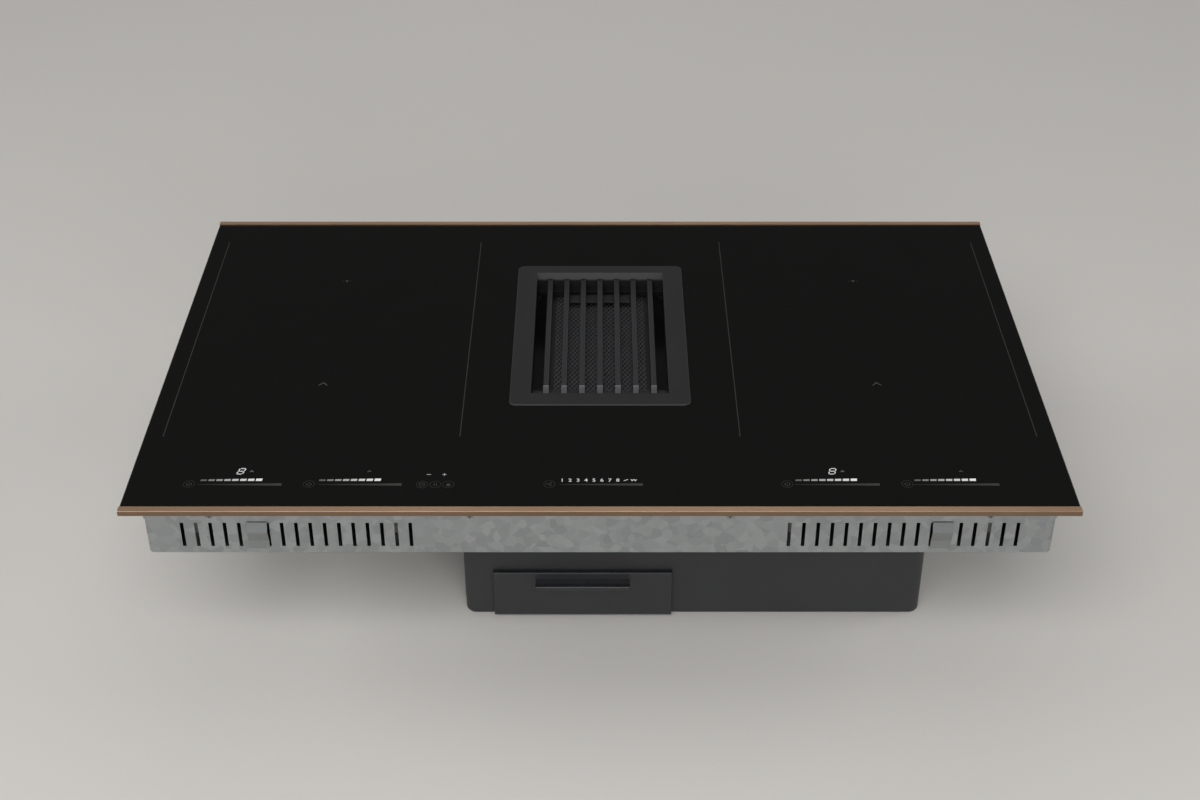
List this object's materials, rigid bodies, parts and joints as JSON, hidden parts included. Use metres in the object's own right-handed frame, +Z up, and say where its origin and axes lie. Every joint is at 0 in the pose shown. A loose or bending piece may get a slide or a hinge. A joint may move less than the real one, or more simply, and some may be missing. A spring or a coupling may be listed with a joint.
{
  "type": "downdraft induction cooktop",
  "caption": "Built-in induction cooktop with a central downdraft intake, lift-out grille and filter, blower housing and rear flat-duct outlet.",
  "frame": {"origin": "centre of the worktop cut-out, on the worktop's top face under the seal", "axes": "+X to the user's right, +Y to the rear, +Z up"},
  "size_m": [0.83, 0.515, 0.21],
  "materials": {
    "glass_ceramic": "polished black glass ceramic",
    "copper_anodised": "satin, anodised copper tone",
    "seal_foam": "closed-cell foam",
    "frame_black": "matt powder coat",
    "grille_black": "matt enamel over cast metal",
    "silicone": "moulded",
    "filter_steel": "dark stoved paint",
    "filter_mesh": "expanded, dark anodised",
    "duct_plastic": "moulded",
    "galvanised_steel": "hot-dip galvanised sheet",
    "screw_steel": "bright zinc plated",
    "copper_litz": "enamelled copper strands",
    "coil_plastic": "moulded",
    "mica": "pressed mica",
    "sensor_ceramic": "fired",
    "ferrite": "sintered",
    "aluminium_sheet": "rolled",
    "heatsink_aluminium": "extruded",
    "circuit_board": "solder mask",
    "board_parts": "moulded",
    "fan_plastic": "moulded",
    "terminal_plastic": "moulded",
    "gland_plastic": "moulded",
    "housing_plastic": "moulded, fine texture",
    "motor_steel": "turned",
    "tank_plastic": "moulded"
  },
  "bodies": {
    "casing": {"glass_top": "glass_ceramic", "front_trim": "copper_anodised", "rear_trim": "copper_anodised", "worktop_gasket": "seal_foam", "vent_frame": "frame_black", "vent_frame_gasket": "seal_foam", "intake_shaft": "duct_plastic", "support_frame": "galvanised_steel", "casing_floor": "galvanised_steel", "casing_walls": "galvanised_steel", "casing_screws": "screw_steel", "side_springs": "screw_steel", "coil_winding_left_front": "copper_litz", "coil_winding_left_rear": "copper_litz", "coil_winding_right_front": "copper_litz", "coil_winding_right_rear": "copper_litz", "coil_carriers": "coil_plastic", "mica_sheets": "mica", "zone_sensors": "sensor_ceramic", "ferrite_bars": "ferrite", "coil_shields": "aluminium_sheet", "shield_posts": "silicone", "inverter_board_left": "circuit_board", "inverter_board_right": "circuit_board", "inverter_parts_left": "board_parts", "inverter_parts_right": "board_parts", "heatsink_left": "heatsink_aluminium", "heatsink_right": "heatsink_aluminium", "cooling_blower_case_left": "fan_plastic", "cooling_blower_case_right": "fan_plastic", "mains_filter_board": "circuit_board", "mains_filter_parts": "board_parts", "touch_board": "circuit_board", "touch_board_carrier": "coil_plastic", "touch_springs": "silicone", "display_modules": "board_parts", "terminal_block": "terminal_plastic", "cable_gland": "gland_plastic", "lower_housing_lid": "housing_plastic", "lower_housing_tub": "housing_plastic", "housing_screws": "screw_steel", "blower_scroll": "duct_plastic", "scroll_cover": "duct_plastic", "inlet_ring": "duct_plastic", "motor_stator": "motor_steel", "outlet_spigot": "duct_plastic"},
    "filter": {"filter_frame": "filter_steel", "filter_mesh": "filter_mesh", "filter_handle": "filter_steel"},
    "grille": {"vent_grille": "grille_black", "grille_feet": "silicone"},
    "blower_wheel": {"impeller": "fan_plastic", "motor_rotor": "motor_steel"},
    "cooling_wheel_left": {"cooling_blower_wheel_left": "fan_plastic"},
    "cooling_wheel_right": {"cooling_blower_wheel_right": "fan_plastic"},
    "flap_upper": {"outlet_flap_upper": "duct_plastic"},
    "flap_lower": {"outlet_flap_lower": "duct_plastic"},
    "tank": {"overflow_tank": "tank_plastic", "tank_seal": "silicone"},
    "service_cover": {"terminal_cover": "galvanised_steel"}
  },
  "joints": [
    {"name": "filter_lift", "type": "slide", "parent": "casing", "child": "filter", "axis": [0, 0, 1], "range_m": [0, 0.15]},
    {"name": "grille_lift", "type": "slide", "parent": "filter", "child": "grille", "axis": [0, 0, 1], "range_m": [0, 0.12]},
    {"name": "impeller_spin", "type": "hinge", "parent": "casing", "child": "blower_wheel", "pos_m": [0.1835, 0.002, -0.152], "axis": [0, 0, 1], "continuous": true},
    {"name": "cooling_wheel_left_spin", "type": "hinge", "parent": "casing", "child": "cooling_wheel_left", "pos_m": [-0.183, 0.14, -0.0345], "axis": [0, 0, 1], "continuous": true},
    {"name": "cooling_wheel_right_spin", "type": "hinge", "parent": "casing", "child": "cooling_wheel_right", "pos_m": [0.349, 0.14, -0.0345], "axis": [0, 0, 1], "continuous": true},
    {"name": "flap_upper_swing", "type": "hinge", "parent": "casing", "child": "flap_upper", "pos_m": [0.187, 0.205, -0.1123], "axis": [1, 0, 0], "range_deg": [0, 75]},
    {"name": "flap_lower_swing", "type": "hinge", "parent": "casing", "child": "flap_lower", "pos_m": [0.187, 0.205, -0.1543], "axis": [1, 0, 0], "range_deg": [0, 75]},
    {"name": "tank_slide", "type": "slide", "parent": "casing", "child": "tank", "axis": [0, -1, 0], "range_m": [0, 0.29]},
    {"name": "service_cover_swing", "type": "hinge", "parent": "casing", "child": "service_cover", "pos_m": [-0.32, 0.1153, -0.0547], "axis": [-1, 0, 0], "range_deg": [0, 100]}
  ]
}
